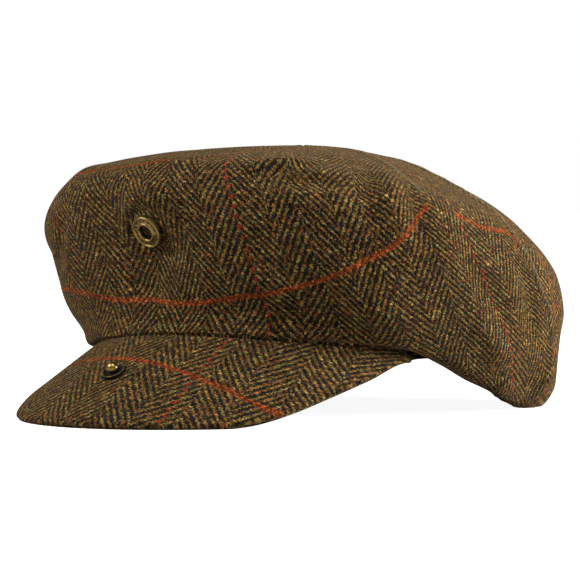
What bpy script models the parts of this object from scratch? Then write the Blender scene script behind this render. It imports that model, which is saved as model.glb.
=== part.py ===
"""Herringbone flat cap with a two-part brass press stud, at rest with the stud undone.

The crown is one hollow wall of cloth, open below for the head. It stands clear of a stiff, cloth-covered peak.
Units are metres with +Z up. The wearer would look along -Y, and +X is the wearer's left.
The origin is on the surface that the cap rests on, under the middle of its length and width.
"""

import math
from collections import namedtuple

import bmesh
import bpy
from mathutils import Matrix, Vector

# Head opening, an oval
HEAD_LENGTH = 0.200
HEAD_WIDTH = 0.168

# Crown, with its reach before and behind the middle of the head opening
CROWN_FRONT = 0.104
CROWN_BACK = 0.116
CROWN_WIDTH = 0.222
CROWN_HEIGHT = 0.117
FRONT_SQUARENESS = 2.5
BACK_SQUARENESS = 2.25
CLOTH = 0.0022

# Peak, sewn under the front of the head opening
SEAM_HEIGHT = 0.036
PEAK_REACH = 0.052
PEAK_WIDTH = 0.166
PEAK_THICKNESS = 0.0038
PEAK_CAMBER = 0.001
SEAM_SKEW = 0.0055
SKEW_END = 108.0
PEAK_END_AZIMUTH = 70.0
PEAK_END_REACH = 0.003
RIM_SHIFT = 0.07
PEAK_END_THICKNESS = 0.0024
PEAK_END_POWER = 8

# Press stud
SOCKET_HEIGHT = 0.080
SOCKET_RADIUS = 0.0072
SOCKET_DEPTH = 0.0030
SOCKET_BORE_RADIUS = 0.0032
SOCKET_FLOOR = 0.0010
SOCKET_BEAD = 0.0008
SOCKET_CHAMFER = 0.0005
BEAD_ARC = 110
STUD_REACH = 0.0250
STUD_AZIMUTH = 2.2
STUD_FLANGE_RADIUS = 0.0052
STUD_FLANGE = 0.0011
STUD_CHAMFER = 0.0004
STUD_BALL_RADIUS = 0.0026
STUD_NECK_RADIUS = 0.0018
STUD_BALL_START = -18
STUD_HEIGHT = 0.0048
RIVET_RADIUS = 0.0050
RIVET_DISC = 0.0010
POST_RADIUS = 0.0012
POST_END = 0.0004

# Clearance between neighbours, and how far the cloth is pressed flat where it rests
GAP = 0.0003
PRESSED = 0.0004

# Mesh fineness, and the short steps along a surface that its slope is read from
CROWN_COLUMNS = 72
ROWS_PER_RING = 2
PEAK_COLUMNS = 44
PEAK_ROWS = 7
PEAK_RIM_ANGLES = (60, 30, 0, -30, -60)
TURNED_SIDES = 24
SHARP_ANGLE = 40.0
AZIMUTH_STEP = 1.0
CROWN_STEP = 0.004
PEAK_STEP = 0.02

# Azimuths of the crown's stations, in degrees from the front
STATIONS = (0.0, 45.0, 90.0, 135.0, 180.0)

# The crown's rings from the head opening to its top. The reach is a share of the crown's plan radius at an azimuth, the
# lift a share of the height from the opening's edge to the top. Each has one value for each station, from the front
# round to the back.
Ring = namedtuple("Ring", "name reach lift")
RINGS = (
    Ring("tuck", (0.970, 0.840, 0.850, 0.858, 0.858), (0.010, 0.010, -0.020, -0.034, -0.034)),
    Ring("foot", (0.958, 0.875, 0.905, 0.950, 0.940), (0.080, 0.080, 0.060, 0.045, 0.040)),
    Ring("low", (0.950, 0.935, 0.950, 0.972, 0.960), (0.250, 0.264, 0.173, 0.110, 0.105)),
    Ring("middle", (0.962, 0.970, 0.985, 0.990, 0.985), (0.430, 0.444, 0.316, 0.254, 0.250)),
    Ring("widest", (0.985, 0.990, 1.000, 1.004, 1.000), (0.600, 0.600, 0.439, 0.342, 0.340)),
    Ring("high", (0.992, 0.972, 0.980, 0.980, 0.978), (0.740, 0.730, 0.561, 0.474, 0.470)),
    Ring("turn", (0.960, 0.925, 0.935, 0.932, 0.930), (0.825, 0.810, 0.650, 0.556, 0.556)),
    Ring("shoulder", (0.900, 0.860, 0.865, 0.855, 0.855), (0.885, 0.878, 0.720, 0.642, 0.642)),
    Ring("top edge", (0.810, 0.763, 0.775, 0.778, 0.778), (0.925, 0.911, 0.776, 0.719, 0.719)),
    Ring("top outer", (0.690, 0.655, 0.660, 0.660, 0.660), (0.946, 0.942, 0.846, 0.800, 0.800)),
    Ring("top inner", (0.470, 0.450, 0.430, 0.420, 0.420), (0.981, 0.978, 0.942, 0.924, 0.924)),
)

# Height of the head opening's edge round the cap, as a share of the seam height. It rises at the sides, rests on a lobe
# to the left and the right of the back, and is drawn up between them.
EdgePoint = namedtuple("EdgePoint", "azimuth lift")
OPENING_EDGE = (
    EdgePoint(0, 1.00),
    EdgePoint(45, 0.84),
    EdgePoint(70, 0.74),
    EdgePoint(84, 0.56),
    EdgePoint(96, 0.38),
    EdgePoint(108, 0.24),
    EdgePoint(120, 0.11),
    EdgePoint(133, 0.05),
    EdgePoint(146, 0.08),
    EdgePoint(160, 0.32),
    EdgePoint(170, 0.51),
    EdgePoint(180, 0.56),
)

# Height of the peak's rim along it, from its middle to its end, as a share of the seam's height behind it
RimPoint = namedtuple("RimPoint", "along lift")
PEAK_RIM = (
    RimPoint(0.00, 0.00),
    RimPoint(0.42, 0.00),
    RimPoint(0.52, 0.04),
    RimPoint(0.62, 0.16),
    RimPoint(0.73, 0.34),
    RimPoint(0.85, 0.54),
    RimPoint(1.00, 0.80),
)

# Dents and puffs in the crown's cloth. Along runs from 0 at the opening's edge to 1 at the top centre, the spreads are in
# degrees and in the same shares, and the depth is a share of the crown's height, below 0 for a puff.
Fold = namedtuple("Fold", "name azimuth along wide tall depth")
FOLDS = (
    Fold("dimple round the socket", 0, 0.42, 13, 0.10, 0.020),
    Fold("dent in the front of the top", -22, 0.80, 14, 0.09, 0.016),
    Fold("hollow over the peak", 44, 0.17, 26, 0.07, 0.020),
    Fold("puff at the peak's end", 66, 0.19, 8, 0.05, -0.012),
    Fold("crease under the top edge", 58, 0.68, 16, 0.05, 0.012),
    Fold("step before the back lobe", 112, 0.10, 9, 0.09, 0.022),
)


def through(points, x):
    """Value at x of a smooth curve through (x, y) points, level at both ends."""
    index = max(i for i in range(len(points) - 1) if points[i][0] <= x or i == 0)
    slopes = [0.0]
    for before, after in zip(points[:-2], points[2:]):
        slopes.append((after[1] - before[1]) / (after[0] - before[0]))
    slopes.append(0.0)
    (x0, y0), (x1, y1) = points[index][:2], points[index + 1][:2]
    width = x1 - x0
    t = min(1.0, max(0.0, (x - x0) / width))
    s = 1.0 - t
    ends = y0 * (1 + 2 * t) * s * s + y1 * (3 - 2 * t) * t * t
    return ends + width * (slopes[index] * t * s * s - slopes[index + 1] * s * t * t)


def oval_radius(azimuth, reach, half_width, squareness):
    """Radius at an azimuth in degrees of an oval whose long axis is the cap's."""
    turn = math.radians(azimuth)
    across = (abs(math.sin(turn)) / half_width) ** squareness
    forward = (abs(math.cos(turn)) / reach) ** squareness
    return (across + forward) ** (-1.0 / squareness)


def head_radius(azimuth):
    return oval_radius(azimuth, HEAD_LENGTH / 2, HEAD_WIDTH / 2, 2.0)


def crown_radius(azimuth):
    if math.cos(math.radians(azimuth)) > 0:
        return oval_radius(azimuth, CROWN_FRONT, CROWN_WIDTH / 2, FRONT_SQUARENESS)
    return oval_radius(azimuth, CROWN_BACK, CROWN_WIDTH / 2, BACK_SQUARENESS)


def folded(azimuth):
    """The azimuth measured from the front, the same on both sides."""
    return abs((azimuth + 180.0) % 360.0 - 180.0)


def edge_height(azimuth):
    """Height of the opening's edge, a little higher on the left of the front than on the right."""
    turn = folded(azimuth)
    fading = max(0.0, math.cos(math.radians(turn * 90.0 / SKEW_END)))
    skew = SEAM_SKEW * math.sin(math.radians(azimuth)) * fading
    return SEAM_HEIGHT * through(OPENING_EDGE, turn) + skew


def ring_points(azimuth):
    """The crown's (radius, height) at each ring for an azimuth, from the opening's edge to the top centre."""
    turn = folded(azimuth)
    low = edge_height(azimuth)
    points = [(head_radius(azimuth), low)]
    for ring in RINGS:
        reach = through(list(zip(STATIONS, ring.reach)), turn)
        lift = through(list(zip(STATIONS, ring.lift)), turn)
        points.append((reach * crown_radius(azimuth), low + lift * (CROWN_HEIGHT - low)))
    points.append((0.0, CROWN_HEIGHT))
    return points


def curve_point(points, position):
    """Point at a position, counted in points, of a smooth curve through plane points."""
    index = min(int(position), len(points) - 2)
    start, end = Vector(points[index]), Vector(points[index + 1])
    if index == 0:
        before = start * 2 - end
    else:
        before = Vector(points[index - 1])
    if index == len(points) - 2:
        after = Vector((-start.x, start.y))
    else:
        after = Vector(points[index + 2])
    span = (end - start).length
    leave = (end - before) * span / ((end - start).length + (start - before).length)
    arrive = (after - start) * span / ((after - end).length + (end - start).length)
    t = position - index
    s = 1.0 - t
    ends = start * (1 + 2 * t) * s * s + end * (3 - 2 * t) * t * t
    return ends + leave * t * s * s - arrive * s * t * t


def outward(azimuth):
    turn = math.radians(azimuth)
    return Vector((math.sin(turn), -math.cos(turn), 0.0))


def smooth_crown_point(azimuth, along):
    """Point of the crown before its folds, from the middle of the head opening."""
    points = ring_points(azimuth)
    radius, height = curve_point(points, along * (len(points) - 1))
    return outward(azimuth) * radius + Vector((0.0, 0.0, height))


def crown_normal(azimuth, along):
    """The smooth crown's outward direction at a point."""
    along = min(max(along, CROWN_STEP), 1.0 - 2 * CROWN_STEP)
    left = smooth_crown_point(azimuth + AZIMUTH_STEP, along)
    right = smooth_crown_point(azimuth - AZIMUTH_STEP, along)
    above = smooth_crown_point(azimuth, along + CROWN_STEP)
    below = smooth_crown_point(azimuth, along - CROWN_STEP)
    return (left - right).cross(above - below).normalized()


def fold_depth(azimuth, along):
    """How deep the folds press the crown in at a point, all together."""
    total = 0.0
    for fold in FOLDS:
        turn = ((azimuth - fold.azimuth + 180.0) % 360.0 - 180.0) / fold.wide
        rise = (along - fold.along) / fold.tall
        total += fold.depth * math.exp(-(turn * turn + rise * rise) / 2)
    return total * CROWN_HEIGHT


def crown_point(azimuth, along):
    """Point of the crown's outer side, pressed flat where it meets the surface below."""
    point = smooth_crown_point(azimuth, along) - crown_normal(azimuth, along) * fold_depth(azimuth, along)
    point.z = max(point.z, 0.0)
    return point


def middle_shift():
    """Moves the head opening's middle so that the origin is under the middle of the cap's length."""
    front = HEAD_LENGTH / 2 + PEAK_REACH + PEAK_THICKNESS / 2
    return Vector((0.0, (front - CROWN_BACK) / 2, 0.0))


def material(name, colour, roughness, metallic):
    new = bpy.data.materials.new(name)
    new.use_nodes = True
    shader = new.node_tree.nodes["Principled BSDF"]
    shader.inputs["Base Color"].default_value = (*colour, 1.0)
    shader.inputs["Roughness"].default_value = roughness
    shader.inputs["Metallic"].default_value = metallic
    return new


def new_object(name, mesh_builder, finish):
    """One named object from a filled bmesh, with its faces turned out."""
    bmesh.ops.recalc_face_normals(mesh_builder, faces=mesh_builder.faces)
    mesh = bpy.data.meshes.new(name)
    mesh_builder.to_mesh(mesh)
    mesh_builder.free()
    mesh.shade_smooth()
    mesh.set_sharp_from_angle(angle=math.radians(SHARP_ANGLE))
    made = bpy.data.objects.new(name, mesh)
    made.data.materials.append(finish)
    bpy.context.scene.collection.objects.link(made)
    return made


def skin(mesh_builder, loops, closed):
    """Quads between neighbouring loops of vertices, and round to the first where closed."""
    pairs = list(zip(loops, loops[1:]))
    if closed:
        pairs.append((loops[-1], loops[0]))
    for one, other in pairs:
        for i in range(len(one) - 1):
            mesh_builder.faces.new((one[i], one[i + 1], other[i + 1], other[i]))


def turned(name, profile, finish):
    """A piece turned about Z from a profile of (radius, height) points that starts and ends on the axis."""
    builder = bmesh.new()
    points = [builder.verts.new((radius, 0.0, height)) for radius, height in profile]
    edges = [builder.edges.new(pair) for pair in zip(points, points[1:])]
    bmesh.ops.spin(
        builder,
        geom=points + edges,
        axis=(0, 0, 1),
        cent=(0, 0, 0),
        steps=TURNED_SIDES,
        angle=math.tau,
        use_merge=True,
    )
    bmesh.ops.remove_doubles(builder, verts=builder.verts, dist=1e-6)
    return new_object(name, builder, finish)


def arc(centre, radius, start, end, count):
    """Points of an arc in the profile plane, between two angles in degrees."""
    angles = [math.radians(start + (end - start) * i / count) for i in range(count + 1)]
    return [(centre[0] + radius * math.cos(a), centre[1] + radius * math.sin(a)) for a in angles]


def drill(target, seat, radius, length):
    """Cuts a round hole through a piece, along the Z axis of a seat."""
    builder = bmesh.new()
    bmesh.ops.create_cone(
        builder,
        cap_ends=True,
        segments=TURNED_SIDES,
        radius1=radius,
        radius2=radius,
        depth=2 * length,
    )
    cutter = new_object(target.name + "_drill", builder, target.data.materials[0])
    cutter.matrix_world = seat
    cutter.hide_render = True
    cutter.display_type = "WIRE"
    hole = target.modifiers.new("hole", "BOOLEAN")
    hole.object = cutter
    hole.solver = "EXACT"


def make_crown(shift, tweed):
    """The outer side in columns from the opening's edge to the top, given its wall inwards."""
    builder = bmesh.new()
    steps = (len(RINGS) + 1) * ROWS_PER_RING
    top = builder.verts.new(crown_point(0.0, 1.0) + shift)
    columns = []
    for column in range(CROWN_COLUMNS):
        azimuth = 360.0 * column / CROWN_COLUMNS
        points = [crown_point(azimuth, row / steps) + shift for row in range(steps)]
        columns.append([builder.verts.new(point) for point in points])
    skin(builder, columns, closed=True)
    for one, other in zip(columns, columns[1:] + columns[:1]):
        builder.faces.new((one[-1], top, other[-1]))
    crown = new_object("crown", builder, tweed)
    wall = crown.modifiers.new("wall", "SOLIDIFY")
    wall.thickness = CLOTH
    wall.offset = -1.0
    wall.use_even_offset = True
    return crown


def rim_height(along):
    """Height of the rim over the surface, with its lowest stretch a little to the left of the middle."""
    shifted = along - RIM_SHIFT * (1 - along * along)
    return edge_height(along * PEAK_END_AZIMUTH) * through(PEAK_RIM, abs(shifted))


def peak_end():
    """Where the seam ends on the wearer's left."""
    return outward(PEAK_END_AZIMUTH) * head_radius(PEAK_END_AZIMUTH)


def peak_seam_point(along):
    azimuth = along * PEAK_END_AZIMUTH
    return outward(azimuth) * head_radius(azimuth) + Vector((0, 0, edge_height(azimuth) - GAP))


def peak_rim_point(along):
    """Point of the peak's upper edge at its rim, from -1 at one end to 1 at the other."""
    turn = along * math.pi / 2
    end = peak_end()
    reach = HEAD_LENGTH / 2 + PEAK_REACH + end.y
    half_width = max(PEAK_WIDTH / 2, end.x + PEAK_END_REACH)
    height = rim_height(along) + PEAK_THICKNESS / 2 - PRESSED
    return Vector((half_width * math.sin(turn), end.y - reach * math.cos(turn), height))


def peak_half_thickness(along):
    """Half the peak's thickness, which thins close to its ends."""
    thinning = (PEAK_THICKNESS - PEAK_END_THICKNESS) * along**PEAK_END_POWER
    return (PEAK_THICKNESS - thinning) / 2


def peak_point(along, out):
    """Point of the peak's middle layer, from 0 at the seam to 1 at the rim, arched between them."""
    under_seam = peak_seam_point(along) - Vector((0, 0, peak_half_thickness(along)))
    rim = peak_rim_point(along)
    flat = under_seam.lerp(rim, out)
    arch = PEAK_CAMBER * 4 * out * (1 - out) * math.cos(along * math.pi / 2)
    return flat + Vector((0, 0, arch))


def peak_frame(along, out):
    """The outward direction along the peak, and its normal."""
    inner, outer = max(out - PEAK_STEP, 0.0), min(out + PEAK_STEP, 1.0)
    forward = (peak_point(along, outer) - peak_point(along, inner)).normalized()
    left, right = min(along + PEAK_STEP, 1.0), max(along - PEAK_STEP, -1.0)
    across = peak_point(left, out) - peak_point(right, out)
    return forward, forward.cross(across).normalized()


def peak_section(along):
    """The closed section of the peak: its upper side, its round rim and its lower side."""
    half = peak_half_thickness(along)
    upper, lower = [], []
    for row in range(PEAK_ROWS + 1):
        out = row / PEAK_ROWS
        middle = peak_point(along, out)
        normal = peak_frame(along, out)[1]
        upper.append(middle + normal * half)
        lower.append(middle - normal * half)
    forward, normal = peak_frame(along, 1.0)
    middle = peak_point(along, 1.0)
    rim = []
    for angle in PEAK_RIM_ANGLES:
        turn = math.radians(angle)
        rim.append(middle + forward * half * math.cos(turn) + normal * half * math.sin(turn))
    section = upper + rim + lower[::-1]
    for point in section:
        point.z = max(point.z, 0.0)
    return section


def make_peak(shift, tweed):
    builder = bmesh.new()
    sections = []
    for column in range(PEAK_COLUMNS + 1):
        along = -1 + 2 * column / PEAK_COLUMNS
        sections.append([builder.verts.new(point + shift) for point in peak_section(along)])
    skin(builder, [section + section[:1] for section in sections], closed=False)
    builder.faces.new(sections[0])
    builder.faces.new(sections[-1][::-1])
    return new_object("peak", builder, tweed)


def seat(point, normal):
    """A frame at a point with its Z axis along the normal and its X axis level."""
    z = normal.normalized()
    x = Vector((0, 0, 1)).cross(z).normalized()
    y = z.cross(x)
    frame = Matrix((x, y, z)).transposed().to_4x4()
    frame.translation = point
    return frame


def socket_along():
    """How far along the crown's front profile it first reaches the socket's height."""
    along = 0.0
    while crown_point(0.0, along).z < SOCKET_HEIGHT:
        along += CROWN_STEP / 4
    return along


def socket_seat(shift):
    along = socket_along()
    across = crown_point(AZIMUTH_STEP, along) - crown_point(-AZIMUTH_STEP, along)
    rising = crown_point(0.0, along + CROWN_STEP) - crown_point(0.0, along - CROWN_STEP)
    return seat(crown_point(0.0, along) + shift, across.cross(rising))


def stud_seat(shift):
    along = STUD_AZIMUTH / PEAK_END_AZIMUTH
    out = STUD_REACH / PEAK_REACH
    normal = peak_frame(along, out)[1]
    return seat(peak_point(along, out) + normal * PEAK_THICKNESS / 2 + shift, normal)


def make_snap_socket(frame, brass):
    """A ring with a bead round its outer and its inner edge, and a floor that the rivet's post runs through."""
    post = POST_RADIUS + GAP
    bead_height = SOCKET_DEPTH - SOCKET_BEAD
    profile = [(post, 0.0), (SOCKET_RADIUS - SOCKET_CHAMFER, 0.0), (SOCKET_RADIUS, SOCKET_CHAMFER)]
    profile += arc((SOCKET_RADIUS - SOCKET_BEAD, bead_height), SOCKET_BEAD, 0, BEAD_ARC, 4)
    profile += arc((SOCKET_BORE_RADIUS + SOCKET_BEAD, bead_height), SOCKET_BEAD, 180 - BEAD_ARC, 180, 4)
    profile += [(SOCKET_BORE_RADIUS, SOCKET_FLOOR), (post, SOCKET_FLOOR), (post, 0.0)]
    socket = turned("snap_socket", profile, brass)
    socket.matrix_world = frame @ Matrix.Translation((0, 0, GAP))
    return socket


def make_rivet(name, frame, cloth, reach, brass):
    """A disc under the cloth whose post runs through it and on by its reach."""
    under = -cloth - GAP
    profile = [
        (0.0, under - RIVET_DISC),
        (RIVET_RADIUS, under - RIVET_DISC),
        (RIVET_RADIUS, under),
        (POST_RADIUS, under),
        (POST_RADIUS, reach),
        (0.0, reach),
    ]
    rivet = turned(name, profile, brass)
    rivet.matrix_world = frame
    return rivet


def make_snap_stud(frame, brass):
    """A flange, a neck and a ball, hollow below for the rivet's post."""
    post = POST_RADIUS + GAP
    hollow = STUD_FLANGE + POST_END + GAP
    ball_height = STUD_HEIGHT - STUD_BALL_RADIUS
    profile = [
        (0.0, hollow),
        (post, hollow),
        (post, 0.0),
        (STUD_FLANGE_RADIUS, 0.0),
        (STUD_FLANGE_RADIUS, STUD_FLANGE - STUD_CHAMFER),
        (STUD_FLANGE_RADIUS - STUD_CHAMFER, STUD_FLANGE),
        (STUD_NECK_RADIUS, STUD_FLANGE),
    ]
    profile += arc((0.0, ball_height), STUD_BALL_RADIUS, STUD_BALL_START, 90, 7)
    profile[-1] = (0.0, STUD_HEIGHT)
    stud = turned("snap_stud", profile, brass)
    stud.matrix_world = frame @ Matrix.Translation((0, 0, GAP))
    return stud


def main():
    for old in list(bpy.data.objects):
        bpy.data.objects.remove(old)
    tweed = material("tweed", (0.060, 0.045, 0.025), 0.95, 0.0)
    peak_tweed = material("peak_tweed", (0.060, 0.045, 0.025), 0.95, 0.0)
    brass = material("antique_brass", (0.340, 0.230, 0.090), 0.40, 1.0)
    shift = middle_shift()
    crown = make_crown(shift, tweed)
    peak = make_peak(shift, peak_tweed)
    hole = POST_RADIUS + GAP
    socket_frame = socket_seat(shift)
    drill(crown, socket_frame, hole, 2 * CLOTH)
    make_snap_socket(socket_frame, brass)
    make_rivet("socket_rivet", socket_frame, CLOTH, GAP + SOCKET_FLOOR + POST_END, brass)
    stud_frame = stud_seat(shift)
    drill(peak, stud_frame, hole, 2 * PEAK_THICKNESS)
    make_snap_stud(stud_frame, brass)
    make_rivet("stud_rivet", stud_frame, PEAK_THICKNESS, GAP + STUD_FLANGE + POST_END, brass)


if __name__ == "__main__":
    main()
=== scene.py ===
"""Herringbone tweed flat cap with a brass press stud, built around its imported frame.

Lengths are in metres unless a comment says millimetres. The wearer looks along -Y, +X is the wearer's left
and +Z is up. Azimuths are in degrees from the front, towards the wearer's left. Along runs from 0 at the
opening's edge to 1 at the top of the crown.
"""
import math

import bpy
import numpy as np
from bpy.props import FloatProperty, FloatVectorProperty, IntProperty, PointerProperty
from bpy.types import Operator, Panel, PropertyGroup
from mathutils import Matrix, Vector


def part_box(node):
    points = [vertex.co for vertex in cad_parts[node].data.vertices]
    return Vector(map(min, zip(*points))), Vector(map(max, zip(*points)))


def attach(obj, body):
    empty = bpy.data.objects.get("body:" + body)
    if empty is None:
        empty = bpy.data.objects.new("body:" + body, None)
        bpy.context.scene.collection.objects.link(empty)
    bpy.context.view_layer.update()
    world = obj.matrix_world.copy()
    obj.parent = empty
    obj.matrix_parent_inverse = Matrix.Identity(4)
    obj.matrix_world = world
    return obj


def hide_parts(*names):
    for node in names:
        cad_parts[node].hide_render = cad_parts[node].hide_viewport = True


bl_info = {
    "name": "Herringbone Flat Cap",
    "version": (1, 0, 0),
    "blender": (4, 5, 0),
    "location": "3D View > Sidebar > Cap",
    "description": "Makes a herringbone tweed flat cap with a brass press stud, its floor, lights and camera",
    "category": "Object",
}

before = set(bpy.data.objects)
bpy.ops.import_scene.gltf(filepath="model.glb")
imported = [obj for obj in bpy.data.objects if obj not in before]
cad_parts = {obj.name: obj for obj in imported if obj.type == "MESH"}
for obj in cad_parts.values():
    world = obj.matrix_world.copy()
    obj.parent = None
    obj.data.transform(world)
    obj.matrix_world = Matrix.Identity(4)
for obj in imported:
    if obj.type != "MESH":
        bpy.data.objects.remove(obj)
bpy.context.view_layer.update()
CROWN_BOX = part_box("crown")
MM = 0.001

# The crown's plan and its rings, as in the frame: reach and lift, in thousandths of the plan radius and of
# the height over the opening's edge, from the front round to the back
CROWN_FRONT = 0.104
CROWN_BACK = 0.116
FRONT_SQUARENESS = 2.5
BACK_SQUARENESS = 2.25
STATIONS = (0, 45, 90, 135, 180)
RINGS = (
    ((970, 840, 850, 858, 858), (10, 10, -20, -34, -34)),
    ((958, 875, 905, 950, 940), (80, 80, 60, 45, 40)),
    ((950, 935, 950, 972, 960), (250, 264, 173, 110, 105)),
    ((962, 970, 985, 990, 985), (430, 444, 316, 254, 250)),
    ((985, 990, 1000, 1004, 1000), (600, 600, 439, 342, 340)),
    ((992, 972, 980, 980, 978), (740, 730, 561, 474, 470)),
    ((960, 925, 935, 932, 930), (825, 810, 650, 556, 556)),
    ((900, 860, 865, 855, 855), (885, 878, 720, 642, 642)),
    ((810, 763, 775, 778, 778), (925, 911, 776, 719, 719)),
    ((690, 655, 660, 660, 660), (946, 942, 846, 800, 800)),
    ((470, 450, 430, 420, 420), (981, 978, 942, 924, 924)),
)

# The opening's edge: azimuth and share of the seam's height, then its skew and where the skew ends
OPENING_EDGE = (
    (0, 1), (45, 0.84), (70, 0.74), (84, 0.56), (96, 0.38), (108, 0.24),
    (120, 0.11), (133, 0.05), (146, 0.08), (160, 0.32), (170, 0.51), (180, 0.56),
)
SEAM_SKEW = 0.0055
SKEW_END = 108.0

# The peak, as in the frame: it starts a gap below the crown's edge, and its rim is pressed flat on the floor
PEAK_REACH = 0.052
PEAK_CAMBER = 0.001
PEAK_END_AZIMUTH = 70.0
PEAK_END_REACH = 0.003
PEAK_END_THICKNESS = 0.0024
PEAK_END_POWER = 8
RIM_SHIFT = 0.07
PEAK_RIM = ((0, 0), (0.42, 0), (0.52, 0.04), (0.62, 0.16), (0.73, 0.34), (0.85, 0.54), (1, 0.80))
GAP = 0.0003
PRESSED = 0.0004

# The seam along the peak's rim and the lips on both sides of it: share of the half thickness, and degrees
RIM_SEAM, SEAM_SPREAD = 0.3, 11.0
RIM_LIPS, LIPS_PLACE, LIPS_SPREAD = 0.05, 34, 16.0

# How far the crown's edge is tucked in and down behind the peak's seam
TUCKED_IN = 0.0003
TUCKED_DOWN = 0.0021

# Folds of the crown: azimuth, along, width in degrees, height in shares of along, and depth in millimetres
FOLDS = (
    (0, 0.42, 13, 0.1, 2.34),
    (-22, 0.8, 14, 0.09, 1.87),
    (44, 0.17, 26, 0.07, 2.34),
    (66, 0.19, 8, 0.05, -1.4),
    (58, 0.68, 16, 0.05, 1.4),
    (112, 0.1, 9, 0.09, 2.57),
)

# Darts at the top of each side, seams down to the opening's edge, and how far the seams wander
DART = 70.0
DART_TIP = 0.56
BACK_SEAM = 110.0
SEAM_SLANT = (
    (0, 9), (0.23, 9), (0.31, 7), (0.37, 3), (0.42, -3),
    (0.50, -7), (0.56, -9.5), (0.63, -9), (0.71, -4), (1, -4),
)
SEAM_REACH = 34.0

# Columns of points beside a seam, in degrees, and the seam's welt, its stitched groove and its crest, where a
# highlight is painted
BESIDE_SEAM = (-0.8, -0.35, 0, 0.35, 0.8, 1.2, 1.6, 2.1, 2.7, 3.4)
WELT_HEIGHT, WELT_PLACE, WELT_WIDTH = 0.0011, 0.0028, 0.0024
STITCH_DEPTH, STITCH_WIDTH = 0.0003, 0.0007
PUCKER_SHARE, PUCKER_RATE = 0.12, 190.0
CREST_PLACE = 0.0034

# Azimuths of every second edge of the herringbone's columns, from right to left, at heights up the cloth.
# Edges are numbered, and the first row is number FIRST_EDGE.
COLUMN_WIDTH = 0.0142
COLUMN_HEIGHTS = (0.008, 0.020, 0.035, 0.050, 0.065, 0.078)
FIRST_EDGE = -14
COLUMN_EDGES = (
    (-139, -138, -136, -133, -128, -123),
    (-121, -120, -118, -115, -111, -107),
    (-103, -102, -100, -97, -94, -91),
    (-84.5, -84, -82.5, -80.5, -78, -76),
    (-66, -66.5, -66, -65.5, -64, -63),
    (-49, -49.5, -50, -50.3, -50.5, -51),
    (-32.5, -32.8, -34, -35.4, -37.3, -39),
    (-16.3, -15.9, -16.7, -18.7, -22.1, -25.6),
    (1.7, 1.2, -0.3, -3, -6.9, -11),
    (15.6, 14.6, 12.5, 9.5, 6.2, 4),
    (31.4, 29.9, 27.9, 25.4, 23, 20.6),
    (49.5, 47.2, 44.3, 41.5, 38.7, 36.3),
    (68.4, 63.9, 59.2, 55.6, 53, 51.7),
    (91.8, 84, 76.5, 71, 66.5, 64),
    (112, 103, 95.5, 86.5, 78.2, 76.5),
    (130, 121, 113, 104, 96, 92),
    (148, 139, 131, 122, 113, 108),
)

# How far the back quarters' grain leans from the upright, and where the cloth turns over the top
BACK_GRAIN = ((90, 84), (110, 90), (180, 122))
GRAIN_LEVEL = 0.045
TOP_STARTS = 0.104
TOP_ENDS = 0.172
SIDE_TURN = 75.0

# Metres of cloth that one radian of azimuth stands for in the lines and creases
CLOTH_SPREAD = 0.108

# Weft lines of the overcheck: azimuth and millimetres up the cloth, and the other way round in the back
# quarters, where the cloth is turned. A red warp line follows every eighth edge of the columns.
LINES_APART = 8 * COLUMN_WIDTH
WEFT_LINES = (
    (
        (-68.5, 75.7), (-64, 65.9), (-59.5, 56), (-48, 36.1), (-36, 29), (-24.5, 21.8), (-12, 16.3),
        (-1, 15), (8.5, 13.4), (18.5, 15.2), (30, 20.5), (37, 25.9), (43.5, 33.2), (50, 41.8), (55, 48.8),
        (59.5, 56), (64, 65.9), (68.5, 75.7),
    ),
    ((-70, 108), (-40, 85), (-17.5, 80), (-3, 78.4), (8, 81.5), (20, 98), (34, 118), (50, 135), (70, 152)),
    ((75.5, 76.5), (83.5, 76.5), (90, 79.5), (96.5, 83), (99.5, 79)),
    ((-99.5, 79), (-96.5, 83), (-90, 79.5), (-83.5, 76.5), (-75.5, 76.5)),
)
BACK_LINES = (
    (
        (0, 124), (22.6, 121), (29.1, 119), (36.8, 118.5), (45.6, 119.5), (52.3, 117.5), (59.2, 113.5),
        (68, 111.5), (85, 110.5),
    ),
    ((0, -124), (29.1, -119.5), (45.6, -119), (68, -112), (85, -110.5)),
)

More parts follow.
